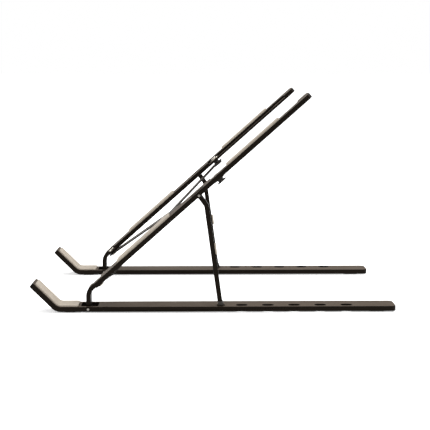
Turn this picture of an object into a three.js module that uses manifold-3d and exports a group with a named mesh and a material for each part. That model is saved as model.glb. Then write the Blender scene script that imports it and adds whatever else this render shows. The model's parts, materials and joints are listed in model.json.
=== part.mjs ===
// A folding laptop stand: two side frames joined by a scissor of two flat link bars.
// Each side frame is a base rail with a hooked front, a support arm that is hinged in the rail,
// and a support leg that hangs from the arm and stands in one of the rail's slots.
//
// Millimetres. +X runs from the hooks to the rear, +Z is up, and the right-hand frame is at -Y.
// The origin is on the ground, under the middle of the stand.

import * as THREE from 'three';
import { mergeVertices } from 'three/addons/utils/BufferGeometryUtils.js';
import Module from 'manifold-3d';

const wasm = await Module();
wasm.setup();

// ---------------------------------------------------------------- driving dimensions

const FRAME_SPACING = 145;        // middle of one side frame to the middle of the other
const STRIP_WIDTH = 20;           // rails and arms are the same width
const FIT_GAP = 0.3;              // between pieces that touch

const FOOT_PAD_THICK = 0.8;
const FLAT_GAP = 0.05;            // under a pad that lies on a level face
const RAIL_THICK = 3.7;
const HINGE_TO_HOOK_TIP = 40.85;  // along X, to the middle of the hook's end
const HOOK_RISE = 18.15;          // the same point's height over the hinge pin
const HOOK_BEND_RADIUS = 7.7;
const HINGE_TO_REAR = 223.9;
const RAIL_REAR_RADIUS = 3.8;
const HOOK_TIP_RADIUS = 1.8;

const RAIL_MOUTH = { front: -5.5, rear: 6.9, width: 13.5, radius: 1.2 };
const SLOT_FROM_OUTER_EDGE = 5.8;
const SLOT_WIDTH = 5.6;
const SLOT_LENGTH = 8.4;
const SLOT_PITCH = 19.13;
const SECOND_SLOT_X = 111.46;     // from the hinge pin
const SLOT_COUNT = 5;             // the long ones, behind the leg's first seat
const FIRST_SEAT_X = 96.2;
const FIRST_SEAT_LENGTH = 6;

const HOOK_PAD_THICK = 1.2;
const HOOK_PAD_INSET = 1.7;
const HOOK_PAD_END_X = -7.1;

const PIN_RADIUS = 1.0;
const PIN_HOLE_RADIUS = PIN_RADIUS + FIT_GAP;

const ARM_ANGLE = THREE.MathUtils.degToRad(41.6);
const ARM_THICK = 3.4;
const ARM_BEND_HEIGHT = 12.6;     // corner of the arm's bend over the hinge pin
const ARM_BEND_RADIUS = 8;
const ARM_LENGTH = 213.9;         // from that corner to the tip
const ARM_TIP_RADIUS = 4;
const ARM_FOOT_WIDTH = 12;
const ARM_SHOULDER = 7.0;         // where the arm reaches its full width
const ARM_EYE_RADIUS = 2.15;

const PAD_THICK = 1.1;
const PAD_INSET = 1.4;
const PAD_RADIUS = 2;
const LOWER_PAD = { start: 30, end: 80.5, inner: -8.6 };
const UPPER_PAD = { start: 136, end: 186, inner: -0.9 };      // it stops short of the channel

const LINK_INSET = 4.5;           // link pivots lie this far inward of the arm's middle
const LOWER_PIVOT = 8.5;          // along the arm, from the corner of its bend
const UPPER_PIVOT = 125.3;
const LINK_WIDTH = 9;
const LINK_THICK = 1.1;
const JOGGLE = { start: 6.5, end: 10.5 };   // bar B's step, from its foot pivot
const RIVET_RADIUS = 1.05;
const RIVET_HOLE_RADIUS = RIVET_RADIUS + FIT_GAP;
const RIVET_HEAD_RADIUS = 2.7;
const RIVET_HEAD_THICK = 0.9;
const RIVET_TAIL_RADIUS = 2.2;
const RIVET_TAIL_THICK = 0.7;
const COUNTERSINK_RADIUS = 2.1;
const COUNTERSINK_DEPTH = 0.7;

const CHANNEL = { start: 119.5, end: 204.5, wallInset: 1.5, depth: 1.7 };
const FOOT_POCKET = { start: 4, end: 12.6, radius: 1.2 };   // as deep as the channel
const CHANNEL_START_RADIUS = 1.2;
const CHANNEL_END_RADIUS = 5;
const CHANNEL_SLOT = { start: 121.5, end: 191.7, width: 4.2 };
const SHOE = { length: 7.6, width: 5.4, thick: 0.6, neckLength: 6, neckWidth: 3.6 };
const SPACER_RADIUS = 2.4;
const SLIDER_HEAD_RADIUS = 2.2;
const KNOB_RADIUS = 3.85;
const KNOB_THICK = 0.75;

const LEG_PIVOT = { along: 106.8, drop: 0.94 };
const LEG_WIDTH = 5;
const LEG_THICK = 3.5;
const LEG_EYE_RADIUS = 2.1;
const LEG_ELBOW = { x: 5.4, z: -7.5 };    // from the leg pin, with the leg standing
const LEG_FOOT = { x: 15.1, z: -77.8 };
const LEG_OPENING = { start: 101, end: 113, width: 5.8 };
const LEG_LUG_RADIUS = 2.2;
const LEG_LUG_INNER = -1.2;       // the inner lug's face, outward of the arm's middle
const LEG_BUMPER = { top: 28.4, bottom: 36.6, thick: 0.9, width: 3.6 };   // down from the elbow
const LEG_TIP = { length: 4.2, width: 6.4, height: 2.5, lift: 0.1 };
const LEG_TONGUE = { length: 2, width: 4.4, depth: 0.4 };

// ---------------------------------------------------------------- worked out from them

const HALF_WIDTH = STRIP_WIDTH / 2;
const HALF_RAIL = RAIL_THICK / 2;
const HALF_ARM = ARM_THICK / 2;
const HINGE_X = (HINGE_TO_HOOK_TIP + HALF_RAIL * Math.SQRT1_2 - HINGE_TO_REAR) / 2;
const HINGE_Z = FOOT_PAD_THICK + FLAT_GAP + HALF_RAIL;
const SLOT_OUT = HALF_WIDTH - SLOT_FROM_OUTER_EDGE;
const UPPER_LAYER = -HALF_ARM - FIT_GAP;          // tops of the three layers under an arm
const LOWER_LAYER = UPPER_LAYER - LINK_THICK - FIT_GAP;
const KNOB_LAYER = LOWER_LAYER - LINK_THICK - FIT_GAP;
const LINK_REACH = UPPER_PIVOT - LOWER_PIVOT;
const LINK_SPAN = FRAME_SPACING - 2 * LINK_INSET;
const LINK_LENGTH = Math.hypot(LINK_REACH, LINK_SPAN);
const LINK_ANGLE = Math.atan2(LINK_SPAN, LINK_REACH);
const CHANNEL_FLOOR = HALF_ARM - CHANNEL.depth;

const SIDES = [
  { name: 'right', out: -1 },
  { name: 'left', out: 1 },
];

// ---------------------------------------------------------------- materials

function finish(color, roughness, metalness) {
  return new THREE.MeshStandardMaterial({ color, roughness, metalness });
}

const anodised = finish(0x4b4238, 0.45, 0.8);
const silicone = finish(0xa89f92, 0.85, 0);
const steel = finish(0xc9c8c4, 0.25, 1);
const linkPaint = finish(0x1f1b18, 0.5, 0.4);
const nylon = finish(0x17140f, 0.6, 0);
const rubber = finish(0x2c2926, 0.9, 0);

// ---------------------------------------------------------------- solids and meshes

function toSolid(geometry) {
  const bare = geometry.clone();
  bare.deleteAttribute('normal');
  bare.deleteAttribute('uv');
  const merged = mergeVertices(bare, 1e-4);
  return new wasm.Manifold(new wasm.Mesh({
    numProp: 3,
    vertProperties: new Float32Array(merged.attributes.position.array),
    triVerts: new Uint32Array(merged.index.array),
  }));
}

function toGeometry(solid) {
  const mesh = solid.getMesh();
  const geometry = new THREE.BufferGeometry();
  geometry.setAttribute('position', new THREE.BufferAttribute(mesh.vertProperties, 3));
  geometry.setIndex(new THREE.BufferAttribute(mesh.triVerts, 1));
  geometry.computeVertexNormals();
  return geometry;
}

function cut(geometry, ...tools) {
  return toGeometry(tools.reduce((solid, tool) => solid.subtract(toSolid(tool)), toSolid(geometry)));
}

function join(geometry, ...others) {
  return toGeometry(others.reduce((solid, other) => solid.add(toSolid(other)), toSolid(geometry)));
}

function common(geometry, other) {
  return toGeometry(toSolid(geometry).intersect(toSolid(other)));
}

function piece(name, geometry, material, x = 0, y = 0, z = 0) {
  const mesh = new THREE.Mesh(geometry, material);
  mesh.name = name;
  mesh.position.set(x, y, z);
  return mesh;
}

function box(x0, x1, y0, y1, z0, z1) {
  const geometry = new THREE.BoxGeometry(x1 - x0, y1 - y0, z1 - z0);
  return geometry.translate((x0 + x1) / 2, (y0 + y1) / 2, (z0 + z1) / 2);
}

// An outline drawn in X and Z, made as wide as asked, across Y.
function acrossY(shape, width, middle = 0) {
  const geometry = new THREE.ExtrudeGeometry(shape, { depth: width, bevelEnabled: false, curveSegments: 6 });
  return geometry.rotateX(Math.PI / 2).translate(0, middle + width / 2, 0);
}

// A rectangle in X and Y with round corners, from one height to another.
// startRadius rounds the two corners at x0 and endRadius those at x1.
function roundedPlate(x0, x1, y0, y1, z0, z1, startRadius, endRadius, segments = 6) {
  const shape = new THREE.Shape();
  shape.moveTo(x0 + startRadius, y0);
  shape.lineTo(x1 - endRadius, y0);
  shape.absarc(x1 - endRadius, y0 + endRadius, endRadius, -Math.PI / 2, 0, false);
  shape.lineTo(x1, y1 - endRadius);
  shape.absarc(x1 - endRadius, y1 - endRadius, endRadius, 0, Math.PI / 2, false);
  shape.lineTo(x0 + startRadius, y1);
  shape.absarc(x0 + startRadius, y1 - startRadius, startRadius, Math.PI / 2, Math.PI, false);
  shape.lineTo(x0, y0 + startRadius);
  shape.absarc(x0 + startRadius, y0 + startRadius, startRadius, Math.PI, 1.5 * Math.PI, false);
  const geometry = new THREE.ExtrudeGeometry(
    shape,
    { depth: z1 - z0, bevelEnabled: false, curveSegments: segments },
  );
  return geometry.translate(0, 0, z0);
}

// A slot with fully round ends, cut along X.
function roundSlot(middle, length, across, width, z0, z1) {
  const x0 = middle - length / 2;
  const half = width / 2 - 0.01;
  return roundedPlate(x0, x0 + length, across - width / 2, across + width / 2, z0, z1, half, half, 5);
}

// A solid of revolution about Z. The profile's pairs are radius and height.
function turned(profile, segments = 18) {
  const points = profile.map(([radius, height]) => new THREE.Vector2(radius, height));
  return new THREE.LatheGeometry(points, segments).rotateX(Math.PI / 2);
}

function ring(inner, outer, z0, z1) {
  return turned([[inner, z0], [outer, z0], [outer, z1], [inner, z1], [inner, z0]]);
}

function rodAlongZ(radius, z0, z1, x = 0, y = 0, segments = 18) {
  const geometry = new THREE.CylinderGeometry(radius, radius, z1 - z0, segments);
  return geometry.rotateX(Math.PI / 2).translate(x, y, (z0 + z1) / 2);
}

function rodAcrossY(radius, y0, y1, x = 0, z = 0, segments = 16) {
  const geometry = new THREE.CylinderGeometry(radius, radius, y1 - y0, segments);
  return geometry.translate(x, (y0 + y1) / 2, z);
}

// ---------------------------------------------------------------- bent strips

// Stations along a line from start to end that turns at the corner with a round bend.
// Each one holds a point in X and Z and the direction that counts as up from it.
function bentLine(start, corner, end, radius, steps = 8) {
  const first = new THREE.Vector2().subVectors(corner, start).normalize();
  const second = new THREE.Vector2().subVectors(end, corner).normalize();
  const turn = first.angleTo(second);
  const setback = radius * Math.tan(turn / 2);
  const side = Math.sign(first.cross(second));
  const normalOf = (direction) => new THREE.Vector2(-direction.y, direction.x);
  const bendStart = corner.clone().addScaledVector(first, -setback);
  const centre = bendStart.clone().addScaledVector(normalOf(first), side * radius);
  const stations = [{ point: start, up: normalOf(first) }];
  for (let i = 0; i <= steps; i += 1) {
    const angle = side * turn * i / steps;
    const direction = first.clone().rotateAround(new THREE.Vector2(), angle);
    const up = normalOf(direction);
    stations.push({ point: centre.clone().addScaledVector(up, -side * radius), up });
  }
  stations.push({ point: end, up: normalOf(second) });
  return stations;
}

// The outline of a strip that lies from low to high over its stations.
function stripOutline(stations, low, high) {
  const over = (height) => (station) => station.point.clone().addScaledVector(station.up, height);
  return new THREE.Shape([...stations.map(over(low)), ...stations.map(over(high)).reverse()]);
}

const hookTip = new THREE.Vector2(-HINGE_TO_HOOK_TIP, HOOK_RISE);
const hookCorner = new THREE.Vector2(-HINGE_TO_HOOK_TIP + HOOK_RISE, 0);
const hookAlong = new THREE.Vector2().subVectors(hookCorner, hookTip).normalize();

// ---------------------------------------------------------------- base rail

// Rounds the hook's free corners: a long plate in the plane of the hook's slope.
function hookTrim() {
  const plate = roundedPlate(0, 400, -HALF_WIDTH, HALF_WIDTH, -300, 300, HOOK_TIP_RADIUS, 1);
  return plate.rotateY(Math.PI / 4).translate(hookTip.x, 0, hookTip.y);
}

function railSlots(out) {
  const across = out * SLOT_OUT;
  const slots = [roundSlot(FIRST_SEAT_X, FIRST_SEAT_LENGTH, across, SLOT_WIDTH, -5, 5)];
  for (let i = 0; i < SLOT_COUNT; i += 1) {
    slots.push(roundSlot(SECOND_SLOT_X + i * SLOT_PITCH, SLOT_LENGTH, across, SLOT_WIDTH, -5, 5));
  }
  return slots;
}

function baseRail(out) {
  const rear = new THREE.Vector2(HINGE_TO_REAR, 0);
  const line = bentLine(hookTip, hookCorner, rear, HOOK_BEND_RADIUS);
  const strip = acrossY(stripOutline(line, -HALF_RAIL, HALF_RAIL), STRIP_WIDTH);
  const plan = roundedPlate(-60, HINGE_TO_REAR, -HALF_WIDTH, HALF_WIDTH, -10, 40, 1, RAIL_REAR_RADIUS, 8);
  const halfMouth = RAIL_MOUTH.width / 2;
  const mouth = roundedPlate(
    RAIL_MOUTH.front, RAIL_MOUTH.rear, -halfMouth, halfMouth, -5, 5, RAIL_MOUTH.radius, RAIL_MOUTH.radius,
  );
  const pinHole = rodAcrossY(PIN_HOLE_RADIUS, -HALF_WIDTH - 1, HALF_WIDTH + 1);
  return cut(common(common(strip, plan), hookTrim()), mouth, pinHole, ...railSlots(out));
}

function hookPad() {
  const start = hookTip.clone().addScaledVector(hookAlong, HOOK_PAD_INSET);
  const end = new THREE.Vector2(HOOK_PAD_END_X, 0);
  const line = bentLine(start, hookCorner, end, HOOK_BEND_RADIUS);
  const bottom = HALF_RAIL + FLAT_GAP;
  const outline = stripOutline(line, bottom, bottom + HOOK_PAD_THICK);
  return acrossY(outline, STRIP_WIDTH - 2 * HOOK_PAD_INSET);
}

function footPad(x0, x1) {
  const half = HALF_WIDTH - 3;
  const z1 = -HALF_RAIL - FLAT_GAP;
  return roundedPlate(x0, x1, -half, half, z1 - FOOT_PAD_THICK, z1, 2, 2, 4);
}

function hingePin() {
  return rodAcrossY(PIN_RADIUS, -HALF_WIDTH + 0.1, HALF_WIDTH - 0.1);
}

function railPieces(side) {
  const { name, out } = side;
  const place = [HINGE_X, out * FRAME_SPACING / 2, HINGE_Z];
  return [
    piece(`${name}_base_rail`, baseRail(out), anodised, ...place),
    piece(`${name}_hook_pad`, hookPad(), silicone, ...place),
    piece(`${name}_front_foot`, footPad(-18, -9), rubber, ...place),
    piece(`${name}_rear_foot`, footPad(204, 216), rubber, ...place),
    piece(`${name}_hinge_pin`, hingePin(), steel, ...place),
  ];
}

// ---------------------------------------------------------------- support arm

// The arm group's X runs up the arm from the corner of its bend, and its Z is square to the arm.
// This turns a level offset from that corner into the group's own X and Z.
function alongArm(x, z) {
  return new THREE.Vector2(x, z).rotateAround(new THREE.Vector2(), -ARM_ANGLE);
}

// The other way round, for a point of the arm: its level place from the hinge pin.
function fromHinge(along, up) {
  const level = new THREE.Vector2(along, up).rotateAround(new THREE.Vector2(), ARM_ANGLE);
  return level.add(new THREE.Vector2(0, ARM_BEND_HEIGHT));
}

const hingeInArm = alongArm(0, -ARM_BEND_HEIGHT);
const legPinLevel = fromHinge(LEG_PIVOT.along, -LEG_PIVOT.drop);

function shoulderCuts() {
  const outerEdge = HALF_WIDTH + 1;
  const footEdge = ARM_FOOT_WIDTH / 2;
  return [
    box(-30, ARM_SHOULDER, footEdge, outerEdge, -30, 10),
    box(-30, ARM_SHOULDER, -outerEdge, -footEdge, -30, 10),
  ];
}

// A step milled along the arm's inner edge, open to that side.
function innerStep(span, out, startRadius, endRadius) {
  const beyond = HALF_WIDTH + endRadius + 1;
  const sides = [-out * CHANNEL.wallInset, -out * beyond].sort((a, b) => a - b);
  return roundedPlate(
    span.start, span.end, ...sides, CHANNEL_FLOOR, HALF_ARM + 5, startRadius, endRadius,
  );
}

// The slider's channel, with a through slot in its floor, and the pocket of the foot rivet.
function channelCuts(out) {
  const channel = innerStep(CHANNEL, out, CHANNEL_START_RADIUS, CHANNEL_END_RADIUS);
  const pocket = innerStep(FOOT_POCKET, out, FOOT_POCKET.radius, FOOT_POCKET.radius);
  const middle = (CHANNEL_SLOT.start + CHANNEL_SLOT.end) / 2;
  const length = CHANNEL_SLOT.end - CHANNEL_SLOT.start;
  const across = -out * LINK_INSET;
  const slot = roundSlot(middle, length, across, CHANNEL_SLOT.width, -HALF_ARM - 1, HALF_ARM + 1);
  return [channel, pocket, slot];
}

// Lugs under the arm's face carry the leg pin on both sides of the opening that the leg hangs in.
function legOpening(out) {
  const middle = out * SLOT_OUT;
  const half = LEG_OPENING.width / 2;
  return roundedPlate(LEG_OPENING.start, LEG_OPENING.end, middle - half, middle + half, -5, 5, 0.8, 0.8);
}

function acrossArm(radius, innerOut, outerOut, out) {
  const ends = [out * innerOut, out * outerOut].sort((a, b) => a - b);
  return rodAcrossY(radius, ends[0], ends[1], LEG_PIVOT.along, -LEG_PIVOT.drop, 24);
}

function supportArm(out) {
  const tip = new THREE.Vector2(ARM_LENGTH, 0);
  const line = bentLine(hingeInArm, new THREE.Vector2(), tip, ARM_BEND_RADIUS);
  const strip = acrossY(stripOutline(line, -HALF_ARM, HALF_ARM), STRIP_WIDTH);
  const plan = roundedPlate(-60, ARM_LENGTH, -HALF_WIDTH, HALF_WIDTH, -40, 10, 1, ARM_TIP_RADIUS, 8);
  const footHalf = ARM_FOOT_WIDTH / 2;
  const eye = rodAcrossY(ARM_EYE_RADIUS, -footHalf, footHalf, hingeInArm.x, hingeInArm.y, 24);
  const lugs = acrossArm(LEG_LUG_RADIUS, LEG_LUG_INNER, HALF_WIDTH, out);
  const body = join(cut(common(strip, plan), ...shoulderCuts()), eye, lugs);
  return cut(
    body,
    rodAcrossY(PIN_HOLE_RADIUS, -HALF_WIDTH, HALF_WIDTH, hingeInArm.x, hingeInArm.y),
    acrossArm(PIN_HOLE_RADIUS, LEG_LUG_INNER - 0.1, HALF_WIDTH + 1, out),
    legOpening(out),
    rodAlongZ(RIVET_HOLE_RADIUS, -5, 5, LOWER_PIVOT, -out * LINK_INSET),
    ...channelCuts(out),
  );
}

// A pad's inner edge is given outward from the arm's middle; its outer one is near the arm's edge.
function restPad(pad, out) {
  const sides = [out * pad.inner, out * (HALF_WIDTH - PAD_INSET)].sort((a, b) => a - b);
  const bottom = HALF_ARM + FIT_GAP;
  return roundedPlate(pad.start, pad.end, ...sides, bottom, bottom + PAD_THICK, PAD_RADIUS, PAD_RADIUS);
}

// The arm's frame, on the corner of its bend: X runs up the arm and Z is square to its face.
function armFrame(y) {
  const group = new THREE.Group();
  group.position.set(HINGE_X, y, HINGE_Z + ARM_BEND_HEIGHT);
  group.rotation.y = -ARM_ANGLE;
  return group;
}

function armPieces(side) {
  const { name, out } = side;
  const legPin = acrossArm(PIN_RADIUS, LEG_LUG_INNER + 0.4, HALF_WIDTH - 0.1, out);
  return [
    piece(`${name}_support_arm`, supportArm(out), anodised),
    piece(`${name}_lower_pad`, restPad(LOWER_PAD, out), silicone),
    piece(`${name}_upper_pad`, restPad(UPPER_PAD, out), silicone),
    piece(`${name}_leg_pin`, legPin, steel),
  ];
}

// ---------------------------------------------------------------- support leg

// Level axes at the leg pin, with the leg standing as it does in use.
const legElbow = new THREE.Vector2(LEG_ELBOW.x, LEG_ELBOW.z);
const legFoot = new THREE.Vector2(LEG_FOOT.x, LEG_FOOT.z);
const legSlope = Math.atan2(legFoot.x - legElbow.x, legElbow.y - legFoot.y);

// A soft stop on the leg's rear face, for the rail when the leg is folded away.
function legBumper() {
  const face = LEG_THICK / 2 + FIT_GAP;
  const half = LEG_BUMPER.width / 2;
  const geometry = box(
    face, face + LEG_BUMPER.thick, -half, half, -LEG_BUMPER.bottom, -LEG_BUMPER.top,
  );
  return geometry.rotateY(-legSlope).translate(legElbow.x, 0, legElbow.y);
}

function supportLeg() {
  const half = LEG_THICK / 2;
  const line = bentLine(new THREE.Vector2(), legElbow, legFoot, 5, 5);
  const strip = acrossY(stripOutline(line, -half, half), LEG_WIDTH);
  const eye = rodAcrossY(LEG_EYE_RADIUS, -LEG_WIDTH / 2, LEG_WIDTH / 2, 0, 0, 24);
  const hole = rodAcrossY(PIN_HOLE_RADIUS, -LEG_WIDTH, LEG_WIDTH);
  return cut(join(strip, eye), hole);
}

// The moulded tip stands on the rail, with a tongue that drops into the slot.
function legTip() {
  const railTop = HINGE_Z + HALF_RAIL;
  const pinHeight = HINGE_Z + legPinLevel.y;
  const bottom = railTop - pinHeight + LEG_TIP.lift;
  const middle = FIRST_SEAT_X - legPinLevel.x;
  const halfLength = LEG_TIP.length / 2;
  const halfWidth = LEG_TIP.width / 2;
  const top = bottom + LEG_TIP.height;
  const block = roundedPlate(
    middle - halfLength, middle + halfLength, -halfWidth, halfWidth, bottom, top, 0.8, 0.8, 3,
  );
  const tongueHalf = LEG_TONGUE.length / 2;
  const tongueSide = LEG_TONGUE.width / 2;
  const tongueEnd = bottom - LEG_TIP.lift - LEG_TONGUE.depth;
  const tongue = box(
    middle - tongueHalf, middle + tongueHalf, -tongueSide, tongueSide, tongueEnd, bottom + 1,
  );
  return join(block, tongue);
}

function legPieces(side) {
  const { name, out } = side;
  const group = new THREE.Group();
  group.position.set(LEG_PIVOT.along, out * SLOT_OUT, -LEG_PIVOT.drop);
  group.rotation.y = ARM_ANGLE;
  group.add(
    piece(`${name}_support_leg`, supportLeg(), anodised),
    piece(`${name}_leg_bumper`, legBumper(), silicone),
    piece(`${name}_leg_tip`, legTip(), nylon),
  );
  return group;
}

// ---------------------------------------------------------------- scissor link and its sliders

// What closes a rivet below: a flat head, from its edge up to the shaft.
function rivetTail(overTail) {
  const bottom = overTail - RIVET_TAIL_THICK;
  const edge = 0.3;
  return [
    [0, bottom], [RIVET_TAIL_RADIUS - edge, bottom], [RIVET_TAIL_RADIUS, bottom + edge],
    [RIVET_TAIL_RADIUS, overTail], [RIVET_RADIUS, overTail],
  ];
}

// A rivet with a low round head in the arm's pocket, which holds one bar close under the arm.
function footRivet() {
  const underHead = CHANNEL_FLOOR + FIT_GAP;
  const top = underHead + RIVET_HEAD_THICK;
  const edge = 0.3;
  return turned([
    ...rivetTail(LOWER_LAYER), [RIVET_RADIUS, underHead], [RIVET_HEAD_RADIUS, underHead],
    [RIVET_HEAD_RADIUS, top - 2 * edge], [RIVET_HEAD_RADIUS - 2 * edge, top - edge / 2], [0, top],
  ]);
}

// The bars cross on a rivet whose head is flush, so that the arms can close over it.
function centreRivet() {
  const top = UPPER_LAYER;
  const coneBottom = top - COUNTERSINK_DEPTH;
  return turned([
    ...rivetTail(KNOB_LAYER), [RIVET_RADIUS, coneBottom], [COUNTERSINK_RADIUS, top], [0, top],
  ]);
}

function countersink(x) {
  const bottom = UPPER_LAYER - COUNTERSINK_DEPTH;
  const wide = COUNTERSINK_RADIUS + FIT_GAP;
  const cone = turned([
    [0, bottom - FIT_GAP], [RIVET_HOLE_RADIUS, bottom - FIT_GAP], [RIVET_HOLE_RADIUS, bottom],
    [wide, UPPER_LAYER], [wide, UPPER_LAYER + 1], [0, UPPER_LAYER + 1],
  ]);
  return cone.translate(x, 0, 0);
}

// A plain pin with one head on top, which ends inside the knob.
function sliderRivet() {
  const underHead = CHANNEL_FLOOR + 0.15 + SHOE.thick + 0.25;
  const top = underHead + 0.6;
  const bottom = KNOB_LAYER - KNOB_THICK + 0.1;
  return turned([
    [0, bottom], [RIVET_RADIUS, bottom], [RIVET_RADIUS, underHead], [SLIDER_HEAD_RADIUS, underHead],
    [SLIDER_HEAD_RADIUS, top - 0.2], [SLIDER_HEAD_RADIUS - 0.4, top], [0, top],
  ]);
}

// The shoe slides in the arm's channel, and its neck fills the slot in the channel's floor.
function sliderShoe() {
  const headBottom = CHANNEL_FLOOR + 0.15;
  const head = roundSlot(0, SHOE.length, 0, SHOE.width, headBottom, headBottom + SHOE.thick);
  const neck = roundSlot(0, SHOE.neckLength, 0, SHOE.neckWidth, -HALF_ARM + 0.1, headBottom + 0.2);
  return cut(join(head, neck), rodAlongZ(RIVET_HOLE_RADIUS, -5, 5));
}

function knob() {
  const bottom = KNOB_LAYER - KNOB_THICK;
  const edge = 0.25;
  return turned([
    [RIVET_HOLE_RADIUS, bottom], [KNOB_RADIUS - edge, bottom], [KNOB_RADIUS, bottom + edge],
    [KNOB_RADIUS, KNOB_LAYER], [RIVET_HOLE_RADIUS, KNOB_LAYER], [RIVET_HOLE_RADIUS, bottom],
  ], 24);
}

function spacer(layerTop) {
  return ring(RIVET_HOLE_RADIUS, SPACER_RADIUS, layerTop - LINK_THICK, layerTop);
}

// A flat bar with round ends, cut from a strip whose outline is drawn in X and Z.
function linkBar(topLine) {
  const top = topLine.map(([x, z]) => new THREE.Vector2(x, z));
  const bottom = topLine.map(([x, z]) => new THREE.Vector2(x, z - LINK_THICK));
  const strip = acrossY(new THREE.Shape([...bottom, ...top.reverse()]), LINK_WIDTH + 2);
  const plan = roundSlot(LINK_LENGTH / 2, LINK_LENGTH + LINK_WIDTH, 0, LINK_WIDTH, -10, 0);
  const holes = [0, LINK_LENGTH / 2, LINK_LENGTH].map((x) => rodAlongZ(RIVET_HOLE_RADIUS, -10, 10, x));
  return cut(common(strip, plan), ...holes);
}

// Bar A runs from the left arm's foot to the right arm's slider, close under the arms.
// Bar B runs the other way, one layer lower, and steps up to the right arm's foot.
function linkPieces() {
  const ends = [-LINK_WIDTH, LINK_LENGTH + LINK_WIDTH];
  const pivotOut = LINK_SPAN / 2;
  const straight = linkBar(ends.map((x) => [x, UPPER_LAYER]));
  const barA = cut(straight, countersink(LINK_LENGTH / 2));
  const barB = linkBar([
    [ends[0], UPPER_LAYER], [JOGGLE.start, UPPER_LAYER], [JOGGLE.end, LOWER_LAYER], [ends[1], LOWER_LAYER],
  ]);
  const fromLeft = piece('link_bar_a', barA, linkPaint, LOWER_PIVOT, pivotOut, 0);
  fromLeft.rotation.z = -LINK_ANGLE;
  const fromRight = piece('link_bar_b', barB, linkPaint, LOWER_PIVOT, -pivotOut, 0);
  fromRight.rotation.z = LINK_ANGLE;
  const centre = piece('centre_rivet', centreRivet(), steel, LOWER_PIVOT + LINK_REACH / 2, 0, 0);
  const group = armFrame(0);
  group.add(fromLeft, fromRight, centre);
  return group;
}

// What the link bars turn on at one arm, in that arm's frame. The right slider holds the upper bar,
// with the spacer below it, and on the left slider the spacer is above the lower bar.
function pivotPieces(side) {
  const { name, out } = side;
  const y = -out * LINK_INSET;
  const sliderSpacer = spacer(name === 'right' ? LOWER_LAYER : UPPER_LAYER);
  return [
    piece(`${name}_foot_rivet`, footRivet(), steel, LOWER_PIVOT, y, 0),
    piece(`${name}_slider_shoe`, sliderShoe(), steel, UPPER_PIVOT, y, 0),
    piece(`${name}_slider_rivet`, sliderRivet(), steel, UPPER_PIVOT, y, 0),
    piece(`${name}_slider_spacer`, sliderSpacer, nylon, UPPER_PIVOT, y, 0),
    piece(`${name}_slider_knob`, knob(), nylon, UPPER_PIVOT, y, 0),
  ];
}

// ---------------------------------------------------------------- the whole stand

const stand = new THREE.Group();
for (const side of SIDES) {
  stand.add(...railPieces(side));
  const arm = armFrame(side.out * FRAME_SPACING / 2);
  arm.add(...armPieces(side), legPieces(side), ...pivotPieces(side));
  stand.add(arm);
}
stand.add(linkPieces());

export default stand;
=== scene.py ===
"""Looks for a folding laptop stand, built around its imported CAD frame.

Lengths named in millimetres are turned into metres by MM. The stand's right-hand frame is at -Y,
and +X runs from the hooks to the rear.
"""

import json
import math
from collections import namedtuple

import bmesh
import bpy
from mathutils import Matrix, Vector


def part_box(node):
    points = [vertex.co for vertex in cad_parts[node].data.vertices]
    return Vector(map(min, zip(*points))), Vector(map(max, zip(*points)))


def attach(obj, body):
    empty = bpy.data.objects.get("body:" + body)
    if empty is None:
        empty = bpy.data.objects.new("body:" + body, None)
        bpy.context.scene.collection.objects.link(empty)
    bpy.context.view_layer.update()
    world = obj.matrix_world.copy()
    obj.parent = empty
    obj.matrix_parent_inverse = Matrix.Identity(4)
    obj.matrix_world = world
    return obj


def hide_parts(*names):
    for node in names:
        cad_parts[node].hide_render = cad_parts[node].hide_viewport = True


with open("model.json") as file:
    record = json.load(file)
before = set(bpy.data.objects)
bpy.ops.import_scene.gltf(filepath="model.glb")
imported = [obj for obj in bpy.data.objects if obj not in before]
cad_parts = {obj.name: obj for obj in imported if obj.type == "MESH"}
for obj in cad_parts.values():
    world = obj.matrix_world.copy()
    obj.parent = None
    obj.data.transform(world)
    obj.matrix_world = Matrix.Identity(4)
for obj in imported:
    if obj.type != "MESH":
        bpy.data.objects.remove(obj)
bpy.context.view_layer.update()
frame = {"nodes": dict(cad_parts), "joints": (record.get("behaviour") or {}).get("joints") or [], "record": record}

MM = 0.001
UP = Vector((0, 0, 1))
ACROSS = Vector((0, 1, 0))
SIDES = {"right": -1, "left": 1}
JOINTS = {joint["name"]: joint for joint in frame["joints"]}
HINGE = Vector(JOINTS["arm_lift"]["pos_m"])
ARM_UP = -Vector(JOINTS["link_fold"]["axis"])      # square to the arms' faces
ARM_ALONG = ACROSS.cross(ARM_UP)                   # up the slope of the arms
NODE_BODY = {
    node: body for body, nodes in frame["record"]["behaviour"]["bodies"].items() for node in nodes
}


# ---------------------------------------------------------------- camera, light and floor

CAMERA_PLACE = (-0.0116, -0.8939, 0.1831)
CAMERA_YAW = 0.0156
CAMERA_PITCH = 0.1365
CAMERA_LENS = 95.66
SENSOR_WIDTH = 36
CLIP_END = 50
FLOOR_REACH = 12
FLOOR_SHADE = 0.9
FLOOR_ROUGHNESS = 0.9
FLOOR_GLOW = 0.5             # keeps the paper near white where the stand shades it
LIGHTS = {
    "overhead": {"place": (0.0, 0.5, 1.4), "target": (0, 0, 0.05), "size": 1.2, "power": 14},
    "upper_right": {"place": (1.1, -0.1, 1.1), "target": (0.07, 0, 0.15), "size": 0.6, "power": 10},
}


def make_camera():
    data = bpy.data.cameras.new("camera")
    data.lens = CAMERA_LENS
    data.sensor_width = SENSOR_WIDTH
    data.clip_end = CLIP_END
    camera = bpy.data.objects.new("camera", data)
    camera.location = CAMERA_PLACE
    camera.rotation_euler = (math.pi / 2 - CAMERA_PITCH, 0, -CAMERA_YAW)
    bpy.context.collection.objects.link(camera)
    bpy.context.scene.camera = camera


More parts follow.
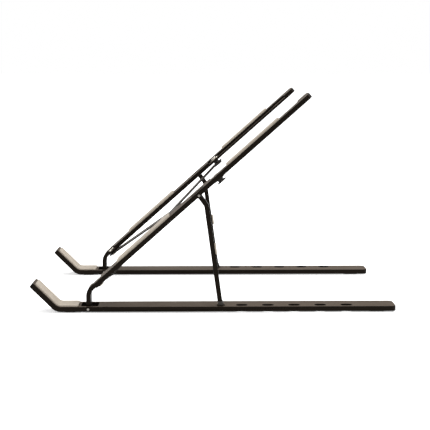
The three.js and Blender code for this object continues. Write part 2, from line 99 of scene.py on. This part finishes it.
def make_area_light(name, place, target, size, power):
    data = bpy.data.lights.new(name, "AREA")
    data.shape = "DISK"
    data.size = size
    data.energy = power
    light = bpy.data.objects.new(name, data)
    light.location = place
    light.rotation_euler = (Vector(target) - Vector(place)).to_track_quat("-Z", "Y").to_euler()
    bpy.context.collection.objects.link(light)


def make_world():
    world = bpy.data.worlds.new("studio")
    world.use_nodes = True
    background = world.node_tree.nodes["Background"]
    background.inputs["Color"].default_value = (1, 1, 1, 1)
    background.inputs["Strength"].default_value = 1.0
    bpy.context.scene.world = world


def make_floor():
    mesh = bpy.data.meshes.new("floor")
    signs = ((-1, -1), (1, -1), (1, 1), (-1, 1))
    corners = [(x * FLOOR_REACH, y * FLOOR_REACH, 0) for x, y in signs]
    mesh.from_pydata(corners, [], [(0, 1, 2, 3)])
    floor = bpy.data.objects.new("floor", mesh)
    bpy.context.collection.objects.link(floor)
    material = bpy.data.materials.new("floor_paper")
    material.use_nodes = True
    shader = material.node_tree.nodes["Principled BSDF"]
    shader.inputs["Base Color"].default_value = (FLOOR_SHADE, FLOOR_SHADE, FLOOR_SHADE, 1)
    shader.inputs["Roughness"].default_value = FLOOR_ROUGHNESS
    shader.inputs["Specular IOR Level"].default_value = 0.0
    shader.inputs["Emission Color"].default_value = (1, 1, 1, 1)
    shader.inputs["Emission Strength"].default_value = FLOOR_GLOW
    mesh.materials.append(material)


def make_studio():
    make_camera()
    make_world()
    make_floor()
    for name, light in LIGHTS.items():
        make_area_light(name, **light)
    bpy.context.scene.view_settings.view_transform = "Standard"


# ---------------------------------------------------------------- materials

# A noise is finer along an axis whose stretch is larger.
Noise = namedtuple("Noise", "scale detail stretch", defaults=[(1, 1, 1)])

DARK_UP_TO = 0.3             # where on the noise the dark colour ends and the light one begins
LIGHT_FROM = 0.7


def add_noise(tree, noise):
    """A noise laid in the piece's own coordinates."""
    coordinates = tree.nodes.new("ShaderNodeTexCoord")
    mapping = tree.nodes.new("ShaderNodeMapping")
    mapping.inputs["Scale"].default_value = noise.stretch
    texture = tree.nodes.new("ShaderNodeTexNoise")
    texture.inputs["Scale"].default_value = noise.scale
    texture.inputs["Detail"].default_value = noise.detail
    tree.links.new(coordinates.outputs["Object"], mapping.inputs["Vector"])
    tree.links.new(mapping.outputs["Vector"], texture.inputs["Vector"])
    return texture.outputs["Fac"]


def add_colours(tree, shader, factor, dark, light):
    ramp = tree.nodes.new("ShaderNodeValToRGB")
    first, last = ramp.color_ramp.elements
    first.position = DARK_UP_TO
    first.color = (*dark, 1)
    last.position = LIGHT_FROM
    last.color = (*light, 1)
    tree.links.new(factor, ramp.inputs["Fac"])
    tree.links.new(ramp.outputs["Color"], shader.inputs["Base Color"])


def add_roughness(tree, shader, factor, low, high):
    reach = tree.nodes.new("ShaderNodeMapRange")
    reach.inputs["To Min"].default_value = low
    reach.inputs["To Max"].default_value = high
    tree.links.new(factor, reach.inputs["Value"])
    tree.links.new(reach.outputs["Result"], shader.inputs["Roughness"])


def add_bump(tree, shader, factor, height_mm):
    bump = tree.nodes.new("ShaderNodeBump")
    bump.inputs["Distance"].default_value = height_mm * MM
    bump.inputs["Strength"].default_value = 1.0
    tree.links.new(factor, bump.inputs["Height"])
    tree.links.new(bump.outputs["Normal"], shader.inputs["Normal"])


def look(
    name, dark, light, mottle, grain, grain_mm, roughness, wear=None, metallic=0.0, specular=0.5,
    tint=(1, 1, 1),
):
    """A material mottled between two colours, with a fine grain on its surface.

    Its roughness is a low and a high value that the wear noise moves between, or one value.
    """
    material = bpy.data.materials.new(name)
    material.use_nodes = True
    tree = material.node_tree
    shader = tree.nodes["Principled BSDF"]
    shader.inputs["Metallic"].default_value = metallic
    shader.inputs["Specular IOR Level"].default_value = specular
    shader.inputs["Specular Tint"].default_value = (*tint, 1)
    add_colours(tree, shader, add_noise(tree, mottle), dark, light)
    if wear:
        add_roughness(tree, shader, add_noise(tree, wear), *roughness)
    else:
        shader.inputs["Roughness"].default_value = roughness
    add_bump(tree, shader, add_noise(tree, grain), grain_mm)
    return material


def anodised_face():
    """Blasted and anodised upper faces: warm grey-brown, with a fine grain. This lighter copy of the metal is
    painted light, from light falling on the tops from above.
    """
    return look(
        "anodised_face", dark=(0.056, 0.042, 0.031), light=(0.068, 0.052, 0.039),
        mottle=Noise(120, 4), wear=Noise(900, 2), grain=Noise(4200, 2), grain_mm=0.012,
        roughness=(0.4, 0.54), metallic=0.45, specular=0.15, tint=(0.55, 0.46, 0.38),
    )


def anodised_edge():
    """Milled edges and undersides of the same metal, painted nearly black as painted shade, with streaks along
    them.
    """
    return look(
        "anodised_edge", dark=(0.0026, 0.0018, 0.0012), light=(0.0042, 0.0030, 0.0021),
        mottle=Noise(300, 3, stretch=(0.15, 1, 1)), wear=Noise(700, 2),
        grain=Noise(3500, 2, stretch=(0.2, 1, 1)), grain_mm=0.008,
        roughness=(0.3, 0.42), specular=0.06, tint=(1.0, 0.84, 0.70),
    )


def silicone():
    """Matte grey-beige silicone with a soft, slightly mottled skin."""
    return look(
        "silicone", dark=(0.325, 0.285, 0.235), light=(0.375, 0.330, 0.275),
        mottle=Noise(180, 4), wear=Noise(600, 2), grain=Noise(2600, 3), grain_mm=0.02,
        roughness=(0.62, 0.8), specular=0.15,
    )


def foot_rubber():
    return look(
        "foot_rubber", dark=(0.026, 0.024, 0.022), light=(0.042, 0.039, 0.036),
        mottle=Noise(240, 3), grain=Noise(2200, 3), grain_mm=0.03, roughness=0.8, specular=0.25,
    )


def steel(name, dark, light):
    """Turned steel with fine turning marks."""
    return look(
        name, dark=dark, light=light, mottle=Noise(500, 3), wear=Noise(1800, 2),
        grain=Noise(5200, 1), grain_mm=0.004, roughness=(0.18, 0.32), metallic=1.0,
    )


def nylon():
    return look(
        "nylon", dark=(0.013, 0.0105, 0.008), light=(0.020, 0.0165, 0.013),
        mottle=Noise(260, 3), wear=Noise(800, 2), grain=Noise(3000, 2), grain_mm=0.015,
        roughness=(0.42, 0.6), specular=0.3,
    )


def link_paint():
    """Dark satin coat on the flat link bars, with a light orange peel."""
    return look(
        "link_paint", dark=(0.017, 0.0135, 0.0105), light=(0.024, 0.0195, 0.0155),
        mottle=Noise(200, 3), wear=Noise(700, 2), grain=Noise(1500, 2), grain_mm=0.012,
        roughness=(0.36, 0.52), metallic=0.2, specular=0.15, tint=(1.0, 0.86, 0.74),
    )


MATERIALS = {
    "anodised_face": anodised_face(),
    "anodised_edge": anodised_edge(),
    "silicone": silicone(),
    "foot_rubber": foot_rubber(),
    "steel": steel("steel", dark=(0.46, 0.42, 0.36), light=(0.60, 0.56, 0.49)),
    "dull_steel": steel("dull_steel", dark=(0.16, 0.15, 0.135), light=(0.22, 0.205, 0.185)),
    "nylon": nylon(),
    "link_paint": link_paint(),
}


# ---------------------------------------------------------------- mesh helpers

SHARP_DEGREES = 40
PAD_SHARP_DEGREES = 50


def add_piece(mesh, node, slot, *materials):
    """Links a finished mesh, which stands for the CAD node and moves with its body."""
    piece = bpy.data.objects.new(f"{node}_finished", mesh)
    bpy.context.collection.objects.link(piece)
    for name in materials:
        mesh.materials.append(MATERIALS[name])
    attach(piece, NODE_BODY[node])
    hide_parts(node)
    return piece


def finish_mesh(bm, name, sharp_degrees=SHARP_DEGREES):
    """Turns bmesh data into a smooth-shaded mesh that stays crisp at its sharp edges."""
    bmesh.ops.recalc_face_normals(bm, faces=bm.faces)
    mesh = bpy.data.meshes.new(name)
    bm.to_mesh(mesh)
    bm.free()
    mesh.shade_smooth()
    mesh.set_sharp_from_angle(angle=math.radians(sharp_degrees))
    return mesh


def weigh_normals(piece):
    modifier = piece.modifiers.new("flat_faces", "WEIGHTED_NORMAL")
    modifier.keep_sharp = True


def points_of(node):
    return [vertex.co.copy() for vertex in frame["nodes"][node].data.vertices]


def span(node, direction, origin=Vector((0, 0, 0))):
    """How far the node reaches along a direction, from lowest to highest."""
    reach = [(point - origin).dot(direction) for point in points_of(node)]
    return min(reach), max(reach)


def loft(bm, rings):
    """Joins rings of the same number of points, and closes the first and the last."""
    for one, two in zip(rings, rings[1:]):
        count = len(one)
        for i in range(count):
            bm.faces.new((one[i], one[(i + 1) % count], two[(i + 1) % count], two[i]))
    bm.faces.new(rings[0])
    bm.faces.new(rings[-1])


# ---------------------------------------------------------------- metal strips

STRIP_ROUNDING = 0.35 * MM
LEG_ROUNDING = 0.4 * MM
BAR_ROUNDING = 0.2 * MM
SHOE_ROUNDING = 0.12 * MM
SPACER_ROUNDING = 0.1 * MM
ROUNDING_SEGMENTS = 3
ROUND_FROM_DEGREES = 50
FLAT_WITHIN_DEGREES = 1
WELD_DISTANCE = 0.002 * MM
# Top faces get the painted-light copy of the metal, and all other faces get the painted-shade copy.
TOP_FACE_SHARE = 0.985       # a face this square to a top direction is a top face
HOOK_SLOPE_DEGREES = 45
TOP_STEP_DEGREES = 5


def rounded_copy(node, rounding):
    """The node's own solid with its facets merged and its sharp edges rounded."""
    bm = bmesh.new()
    bm.from_mesh(frame["nodes"][node].data)
    bmesh.ops.remove_doubles(bm, verts=bm.verts, dist=WELD_DISTANCE)
    flat = math.radians(FLAT_WITHIN_DEGREES)
    bmesh.ops.dissolve_limit(bm, angle_limit=flat, verts=bm.verts, edges=bm.edges)
    limit = math.radians(ROUND_FROM_DEGREES)
    sharp = [edge for edge in bm.edges if edge.is_manifold and edge.calc_face_angle() > limit]
    bmesh.ops.bevel(
        bm, geom=sharp, offset=rounding, segments=ROUNDING_SEGMENTS, profile=0.5, affect="EDGES",
        clamp_overlap=False,
    )
    return bm


def metal_strip(node, slot, face, edge, tops, rounding=STRIP_ROUNDING):
    """A rail, arm, leg or bar. Faces that look along one of the tops get the face material, which is painted
    light; all other faces get the edge material, which is painted shade.
    """
    bm = rounded_copy(node, rounding)
    bmesh.ops.recalc_face_normals(bm, faces=bm.faces)
    for polygon in bm.faces:
        is_top = any(polygon.normal.dot(top) > TOP_FACE_SHARE for top in tops)
        polygon.material_index = 0 if is_top else 1
    piece = add_piece(finish_mesh(bm, node), node, slot, face, edge)
    weigh_normals(piece)
    return piece


def rail_tops():
    """Upward directions on a rail, from its level face round the bend to the hook's slope."""
    angles = [math.radians(a) for a in range(0, HOOK_SLOPE_DEGREES + 1, TOP_STEP_DEGREES)]
    return [Vector((math.sin(angle), 0, math.cos(angle))) for angle in angles]


def make_strips():
    # One anodised metal in two copies: a lighter copy on the tops as painted light, and a nearly black copy as
    # painted shade on sides, ends and undersides. The legs get only the painted-shade copy.
    metal = ("anodised", "anodised_face", "anodised_edge")
    for side in SIDES:
        metal_strip(f"{side}_base_rail", *metal, rail_tops())
        metal_strip(f"{side}_support_arm", *metal, [ARM_UP])
        metal_strip(f"{side}_support_leg", *metal, [], LEG_ROUNDING)
    for bar in ("link_bar_a", "link_bar_b"):
        # The bars' edges take the nearly black painted-shade copy of the anodised metal.
        faces = [ARM_UP, -ARM_UP]
        metal_strip(bar, "link_paint", "link_paint", "anodised_edge", faces, BAR_ROUNDING)


# ---------------------------------------------------------------- silicone pads and rubber feet

# A pad's half width, its thickness, the radii of its outline and of its top edge, and its grooves.
Pad = namedtuple("Pad", "half thick corner rounding pitch depth", defaults=[0.0, 0.0])

PAD_CORNER = 2 * MM
PAD_ROUNDING = 0.45 * MM
PAD_PITCH = 2.1 * MM
PAD_GROOVE = 0.16 * MM
PAD_SUNK = 0.3 * MM          # how far the pads lie below the faces that they are set into
BUMPER_CORNER = 1.2 * MM
BUMPER_ROUNDING = 0.3 * MM
FOOT_CORNER = 2 * MM
FOOT_ROUNDING = 0.3 * MM
FOOT_PITCH = 2.4 * MM
FOOT_GROOVE = 0.2 * MM
GROOVE_MARGIN = 1.4 * MM     # between the outermost groove and the pad's edge
GROOVE_HALF_WIDTH = 0.42 * MM
GROOVE_START = 1.6 * MM      # from the pad's end
GROOVE_FADE = 1.2 * MM
EDGE_STEPS = 5
ACROSS_STEPS = 72
CORNER_STEPS = 6
STEPS_PAST_CORNER = (0.4 * MM, 0.8 * MM, 1.2 * MM, 1.8 * MM)


def corner_width(distance, half, radius):
    """Half the pad's width at a distance from its end, where its corners are round."""
    if distance >= radius:
        return half
    return half - radius + math.sqrt(radius**2 - (radius - distance) ** 2)


def edge_height(distance, thick, rounding):
    """The pad's height at a distance in from its outline, where its top edge is round."""
    if distance >= rounding:
        return thick
    return thick - rounding + math.sqrt(max(0.0, rounding**2 - (rounding - distance) ** 2))


def groove(across, half, pitch, depth):
    """Depth of the fine grooves that run along a pad, none of them near its edges."""
    count = int((half - GROOVE_MARGIN) / pitch)
    nearest = round(across / pitch)
    offset = abs(across - nearest * pitch)
    if abs(nearest) > count or offset >= GROOVE_HALF_WIDTH:
        return 0.0
    return depth * (1 - (offset / GROOVE_HALF_WIDTH) ** 2)


def spread(half, edge):
    """Places across a pad, close together at its rounded edges."""
    fine = [edge * (1 - math.cos(math.pi / 2 * i / EDGE_STEPS)) for i in range(EDGE_STEPS)]
    left = [-half + step for step in fine]
    inner = half - edge
    middle = [-inner + 2 * inner * i / ACROSS_STEPS for i in range(ACROSS_STEPS + 1)]
    return left + middle + [-value for value in reversed(left)]


def pad_ring(bm, point, up, from_end, pad):
    """One cross-section of a pad: a flat underside and a rounded, grooved top."""
    width = corner_width(from_end, pad.half, pad.corner)
    fade = min(1.0, max(0.0, (from_end - GROOVE_START) / GROOVE_FADE))
    ring = [bm.verts.new(point - ACROSS * width)]
    for place in spread(pad.half, pad.rounding):
        across = place * width / pad.half
        height = edge_height(min(width - abs(across), from_end), pad.thick, pad.rounding)
        if pad.pitch:
            height -= fade * groove(across, pad.half, pad.pitch, pad.depth)
        ring.append(bm.verts.new(point + ACROSS * across + up * height))
    ring.append(bm.verts.new(point + ACROSS * width))
    return ring


def pad_mesh(name, line, pad):
    """A soft pad laid along a line of (point, up) pairs, both in metres."""
    lengths = [0.0]
    for before, after in zip(line, line[1:]):
        lengths.append(lengths[-1] + (after[0] - before[0]).length)
    total = lengths[-1]
    bm = bmesh.new()
    rings = [
        pad_ring(bm, point, up, min(length, total - length), pad)
        for (point, up), length in zip(line, lengths)
    ]
    loft(bm, rings)
    return finish_mesh(bm, name, PAD_SHARP_DEGREES)


def first_steps(corner, rounding):
    """Distances from a pad's end, close together where its outline and top edge are round."""
    turns = [1 - math.cos(math.pi / 2 * i / CORNER_STEPS) for i in range(CORNER_STEPS + 1)]
    near = sorted({radius * turn for turn in turns for radius in (corner, rounding)})
    return near + [near[-1] + step for step in STEPS_PAST_CORNER]


def straight_line(start, direction, total, up, pad):
    """A pad's line along a flat face, with its steps close together at both ends."""
    near = first_steps(pad.corner, pad.rounding)
    steps = near + [total - step for step in reversed(near)]
    return [(start + direction * step, up) for step in steps]


def arm_pad(node):
    """A resting pad on an arm, sunk to the arm's face."""
    low, high = span(node, ARM_ALONG)
    bottom, top = span(node, ARM_UP)
    left, right = span(node, ACROSS)
    middle = ACROSS * (left + right) / 2
    thick = top - bottom + PAD_SUNK
    pad = Pad((right - left) / 2, thick, PAD_CORNER, PAD_ROUNDING, PAD_PITCH, PAD_GROOVE)
    start = ARM_ALONG * low + ARM_UP * (bottom - PAD_SUNK) + middle
    line = straight_line(start, ARM_ALONG, high - low, ARM_UP, pad)
    add_piece(pad_mesh(node, line, pad), node, "silicone", "silicone")


def foot(node):
    low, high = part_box(node)
    half = (high.y - low.y) / 2
    pad = Pad(half, high.z - low.z, FOOT_CORNER, FOOT_ROUNDING, FOOT_PITCH, FOOT_GROOVE)
    start = Vector((low.x, (low.y + high.y) / 2, high.z))
    line = straight_line(start, Vector((1, 0, 0)), high.x - low.x, -UP, pad)
    add_piece(pad_mesh(node, line, pad), node, "foot_rubber", "foot_rubber")


# The hook's slope starts at its tip and meets the level rail in a round bend.
HOOK_TIP = Vector((-40.85 * MM, 0, 18.15 * MM))
HOOK_CORNER_X = -22.7 * MM
HOOK_BEND_RADIUS = 7.7 * MM
HOOK_BEND_STEPS = 12
RAIL_HALF_THICK = 1.85 * MM
HOOK_PAD_END_X = -7.1 * MM
HOOK_PAD_INSET = 1.7 * MM
HOOK_PAD_THICK = 1.25 * MM


def hook_line(y):
    """The hook pad's underside, from the hook's tip round the bend to the pad's rear end."""
    slope = math.radians(HOOK_SLOPE_DEGREES)
    slope_up = Vector((1, 0, 1)).normalized()
    down_slope = Vector((1, 0, -1)).normalized()
    first = HOOK_TIP + down_slope * HOOK_PAD_INSET
    bend_start_x = HOOK_CORNER_X + HOOK_BEND_RADIUS * math.tan(slope / 2)
    bend_centre = Vector((bend_start_x, 0, HOOK_BEND_RADIUS))
    near = first_steps(PAD_CORNER, PAD_ROUNDING)
    line = [(first + down_slope * step, slope_up) for step in near]
    for i in range(HOOK_BEND_STEPS + 1):
        angle = slope * (1 - i / HOOK_BEND_STEPS)
        up = Vector((math.sin(angle), 0, math.cos(angle)))
        line.append((bend_centre - up * HOOK_BEND_RADIUS, up))
    line += [(Vector((HOOK_PAD_END_X - step, 0, 0)), UP) for step in reversed(near)]
    offset = HINGE.copy()
    offset.y = y
    return [(offset + point + up * RAIL_HALF_THICK, up) for point, up in line]


def hook_pad(node):
    low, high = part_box(node)
    half = (high.y - low.y) / 2
    pad = Pad(half, HOOK_PAD_THICK, PAD_CORNER, PAD_ROUNDING, PAD_PITCH, PAD_GROOVE)
    line = hook_line((low.y + high.y) / 2)
    add_piece(pad_mesh(node, line, pad), node, "silicone", "silicone")


def leg_bumper(node):
    """A small pad on the leg's rear face, which slopes as the lower part of the leg does."""
    low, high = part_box(node)
    points = points_of(node)
    lowest = min(points, key=lambda point: point.z)
    leftmost = min(points, key=lambda point: point.x)
    down = lowest - leftmost
    down.y = 0
    down.normalize()
    up = Vector((-down.z, 0, down.x))
    start_along, end_along = span(node, down)
    near_face, far_face = span(node, up)
    half = (high.y - low.y) / 2
    pad = Pad(half, far_face - near_face + PAD_SUNK, BUMPER_CORNER, BUMPER_ROUNDING)
    start = down * start_along + up * (near_face - PAD_SUNK) + ACROSS * (low.y + high.y) / 2
    line = straight_line(start, down, end_along - start_along, up, pad)
    add_piece(pad_mesh(node, line, pad), node, "silicone", "silicone")


def make_soft_pieces():
    for side in SIDES:
        hook_pad(f"{side}_hook_pad")
        arm_pad(f"{side}_lower_pad")
        arm_pad(f"{side}_upper_pad")
        leg_bumper(f"{side}_leg_bumper")
        foot(f"{side}_front_foot")
        foot(f"{side}_rear_foot")


# ---------------------------------------------------------------- turned pieces

TURN_SEGMENTS = 48
ARC_STEPS = 5

RIVET_SHANK = 1.05 * MM
RIVET_TAIL = 2.2 * MM
TAIL_THICK = 0.7 * MM
TAIL_ROUNDING = 0.22 * MM
FOOT_RIVET_HEAD = 2.7 * MM
FOOT_HEAD_THICK = 0.9 * MM
FOOT_HEAD_ROUNDING = 0.4 * MM
FOOT_DISH = 0.15 * MM
DISH_RIM_SHARE = 0.42        # of the head's radius, where the dish in its middle starts
DISH_FLOOR_SHARE = 0.36
SLIDER_HEAD = 2.2 * MM
SLIDER_HEAD_THICK = 0.6 * MM
SLIDER_HEAD_ROUNDING = 0.2 * MM
SHANK_CHAMFER = 0.15 * MM
COUNTERSINK = 2.1 * MM
COUNTERSINK_DEPTH = 0.7 * MM
COUNTERSINK_CHAMFER = 0.06 * MM
KNOB_RADIUS = 3.85 * MM
KNOB_ROUNDING = 0.3 * MM
KNOB_DISH = 0.2 * MM
KNOB_DISH_FLOOR = 1.6 * MM
KNOB_DISH_RIM = 2.3 * MM
PIN_RADIUS = 1.0 * MM
PIN_ROUNDING = 0.25 * MM


def turned_mesh(name, profile, origin, axis):
    """Revolves (radius, height) pairs about an axis. The first and last pairs lie on it."""
    turn = axis.to_track_quat("Z", "Y").to_matrix().to_4x4()
    place = Matrix.Translation(origin) @ turn
    angles = [2 * math.pi * i / TURN_SEGMENTS for i in range(TURN_SEGMENTS)]
    bm = bmesh.new()
    first = bm.verts.new(place @ Vector((0, 0, profile[0][1])))
    last = bm.verts.new(place @ Vector((0, 0, profile[-1][1])))
    rings = [
        [bm.verts.new(place @ Vector((r * math.cos(a), r * math.sin(a), height))) for a in angles]
        for r, height in profile[1:-1]
    ]
    for i in range(TURN_SEGMENTS):
        j = (i + 1) % TURN_SEGMENTS
        bm.faces.new((first, rings[0][j], rings[0][i]))
        bm.faces.new((last, rings[-1][i], rings[-1][j]))
        for one, two in zip(rings, rings[1:]):
            bm.faces.new((one[i], one[j], two[j], two[i]))
    return finish_mesh(bm, name)


def arc(centre_radius, centre_height, radius, start, end):
    """Points of a round edge in a turned profile; angles in degrees from the radius axis."""
    turns = [math.radians(start + (end - start) * i / ARC_STEPS) for i in range(ARC_STEPS + 1)]
    return [
        (centre_radius + radius * math.cos(a), centre_height + radius * math.sin(a)) for a in turns
    ]


def rivet_tail(low):
    """The formed flat head below, up to where the shank leaves it."""
    edge = TAIL_ROUNDING
    top = low + TAIL_THICK
    profile = [(0, low)] + arc(RIVET_TAIL - edge, low + edge, edge, -90, 0)
    return profile + [(RIVET_TAIL, top), (RIVET_SHANK, top)]


def foot_rivet_profile(low, high):
    """A low dome with a flat, slightly dished middle."""
    edge = FOOT_HEAD_ROUNDING
    head = FOOT_RIVET_HEAD
    under = high - FOOT_HEAD_THICK
    floor = high - FOOT_DISH
    profile = rivet_tail(low) + [(RIVET_SHANK, under), (head, under)]
    profile += arc(head - edge, high - edge, edge, 0, 80)
    return profile + [(head * DISH_RIM_SHARE, high), (head * DISH_FLOOR_SHARE, floor), (0, floor)]


def centre_rivet_profile(low, high):
    """A flush rivet, countersunk into the upper bar."""
    edge = COUNTERSINK_CHAMFER
    cone_bottom = (RIVET_SHANK, high - COUNTERSINK_DEPTH)
    cone = [cone_bottom, (COUNTERSINK, high - edge), (COUNTERSINK - edge, high)]
    return rivet_tail(low) + cone + [(0, high)]


def slider_rivet_profile(low, high):
    edge = SLIDER_HEAD_ROUNDING
    under = high - SLIDER_HEAD_THICK
    profile = [(0, low), (RIVET_SHANK - SHANK_CHAMFER, low), (RIVET_SHANK, low + SHANK_CHAMFER)]
    profile += [(RIVET_SHANK, under), (SLIDER_HEAD, under)]
    return profile + arc(SLIDER_HEAD - edge, high - edge, edge, 0, 80) + [(0, high)]


def knob_profile(low, high):
    """A thin round knob with a soft rim and a shallow dish in its face."""
    rim = KNOB_ROUNDING
    floor = low + KNOB_DISH
    profile = [(0, floor), (KNOB_DISH_FLOOR, floor), (KNOB_DISH_RIM, low)]
    profile += arc(KNOB_RADIUS - rim, low + rim, rim, -90, 0)
    return profile + arc(KNOB_RADIUS - rim, high - rim, rim, 0, 90) + [(0, high)]


def pin_profile(low, high):
    edge = PIN_ROUNDING
    profile = [(0, low)] + arc(PIN_RADIUS - edge, low + edge, edge, -90, 0)
    return profile + arc(PIN_RADIUS - edge, high - edge, edge, 0, 90) + [(0, high)]


def turned_piece(node, slot, material, profile_of, origin, axis):
    low, high = span(node, axis, origin)
    mesh = turned_mesh(node, profile_of(low, high), origin, axis)
    add_piece(mesh, node, slot, material)


def middle_of(node):
    low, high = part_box(node)
    return (low + high) / 2


def rivet_place(node):
    """The middle of an upright rivet, measured square to the arms rather than along the axes."""
    place = Vector((0, 0, 0))
    for direction in (ARM_ALONG, ACROSS, ARM_UP):
        low, high = span(node, direction)
        place += direction * (low + high) / 2
    return place


def make_rivets(side):
    foot_rivet = f"{side}_foot_rivet"
    place = rivet_place(foot_rivet)
    turned_piece(foot_rivet, "steel", "steel", foot_rivet_profile, place, ARM_UP)
    slider = Vector(JOINTS[f"{side}_slider_pivot"]["pos_m"])
    turned_piece(f"{side}_slider_rivet", "steel", "steel", slider_rivet_profile, slider, ARM_UP)
    turned_piece(f"{side}_slider_knob", "nylon", "nylon", knob_profile, slider, ARM_UP)


def make_turned_pieces():
    for side in SIDES:
        for pin in (f"{side}_hinge_pin", f"{side}_leg_pin"):
            turned_piece(pin, "steel", "dull_steel", pin_profile, middle_of(pin), ACROSS)
        make_rivets(side)
    place = rivet_place("centre_rivet")
    turned_piece("centre_rivet", "steel", "steel", centre_rivet_profile, place, ARM_UP)


# ---------------------------------------------------------------- moulded tips and small parts

QUARTER_STEPS = 5
TONGUE_LENGTH = 2 * MM
TONGUE_WIDTH = 4.4 * MM
TONGUE_DEPTH = 0.5 * MM
COLLAR_LENGTH = 3.5 * MM
COLLAR_WIDTH = 5.3 * MM
COLLAR_RISE = 0.5 * MM
COLLAR_LEAN = Vector((-0.2 * MM, 0, 0))

# One level of the leg's tip: its size there, how far it is drawn in, its corners, its height and
# the share of the collar's lean.
Level = namedtuple("Level", "length width inset corner height lean", defaults=[0.0])


def rounded_ring(bm, centre, length, width, corner, height):
    """A ring of points round a rectangle with round corners."""
    ring = []
    for sx, sy, start in ((1, 1, 0), (-1, 1, 90), (-1, -1, 180), (1, -1, 270)):
        middle_x = sx * (length / 2 - corner)
        middle_y = sy * (width / 2 - corner)
        for i in range(QUARTER_STEPS + 1):
            angle = math.radians(start + 90 * i / QUARTER_STEPS)
            x = middle_x + corner * math.cos(angle)
            y = middle_y + corner * math.sin(angle)
            ring.append(bm.verts.new(centre + Vector((x, y, height))))
    return ring


def tip_levels(length, width, top):
    """From the bottom: the tongue in the slot, the block on the rail and the leg's collar."""
    tongue = (TONGUE_LENGTH, TONGUE_WIDTH)
    block = (length, width)
    shoulder = (length, width - 0.2 * MM)
    collar = (COLLAR_LENGTH, COLLAR_WIDTH)
    return [
        Level(*tongue, inset=0.2 * MM, corner=0.5 * MM, height=0),
        Level(*tongue, inset=0, corner=0.6 * MM, height=0.2 * MM),
        Level(*tongue, inset=0, corner=0.6 * MM, height=TONGUE_DEPTH),
        Level(*block, inset=0.2 * MM, corner=0.7 * MM, height=TONGUE_DEPTH),
        Level(*block, inset=0, corner=0.8 * MM, height=TONGUE_DEPTH + 0.25 * MM),
        Level(*block, inset=0, corner=0.8 * MM, height=top - 0.5 * MM),
        Level(*block, inset=0.15 * MM, corner=0.8 * MM, height=top - 0.15 * MM),
        Level(*shoulder, inset=0.3 * MM, corner=0.7 * MM, height=top, lean=0.5),
        Level(*collar, inset=0, corner=0.5 * MM, height=top + COLLAR_RISE, lean=1.0),
        Level(*collar, inset=0.1 * MM, corner=0.5 * MM, height=top + COLLAR_RISE + 0.1 * MM, lean=1.0),
    ]


def leg_tip(node):
    low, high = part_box(node)
    size = high - low
    centre = Vector(((low.x + high.x) / 2, (low.y + high.y) / 2, low.z))
    bm = bmesh.new()
    rings = []
    for level in tip_levels(size.x, size.y, size.z):
        place = centre + COLLAR_LEAN * level.lean
        length = level.length - 2 * level.inset
        width = level.width - 2 * level.inset
        rings.append(rounded_ring(bm, place, length, width, level.corner, level.height))
    loft(bm, rings)
    add_piece(finish_mesh(bm, node, PAD_SHARP_DEGREES), node, "nylon", "nylon")


def make_small_pieces():
    for side in SIDES:
        leg_tip(f"{side}_leg_tip")
        metal_strip(f"{side}_slider_shoe", "steel", "steel", "steel", [ARM_UP], SHOE_ROUNDING)
        metal_strip(f"{side}_slider_spacer", "nylon", "nylon", "nylon", [ARM_UP], SPACER_ROUNDING)


# ---------------------------------------------------------------- the whole scene

make_studio()
make_strips()
make_soft_pieces()
make_turned_pieces()
make_small_pieces()
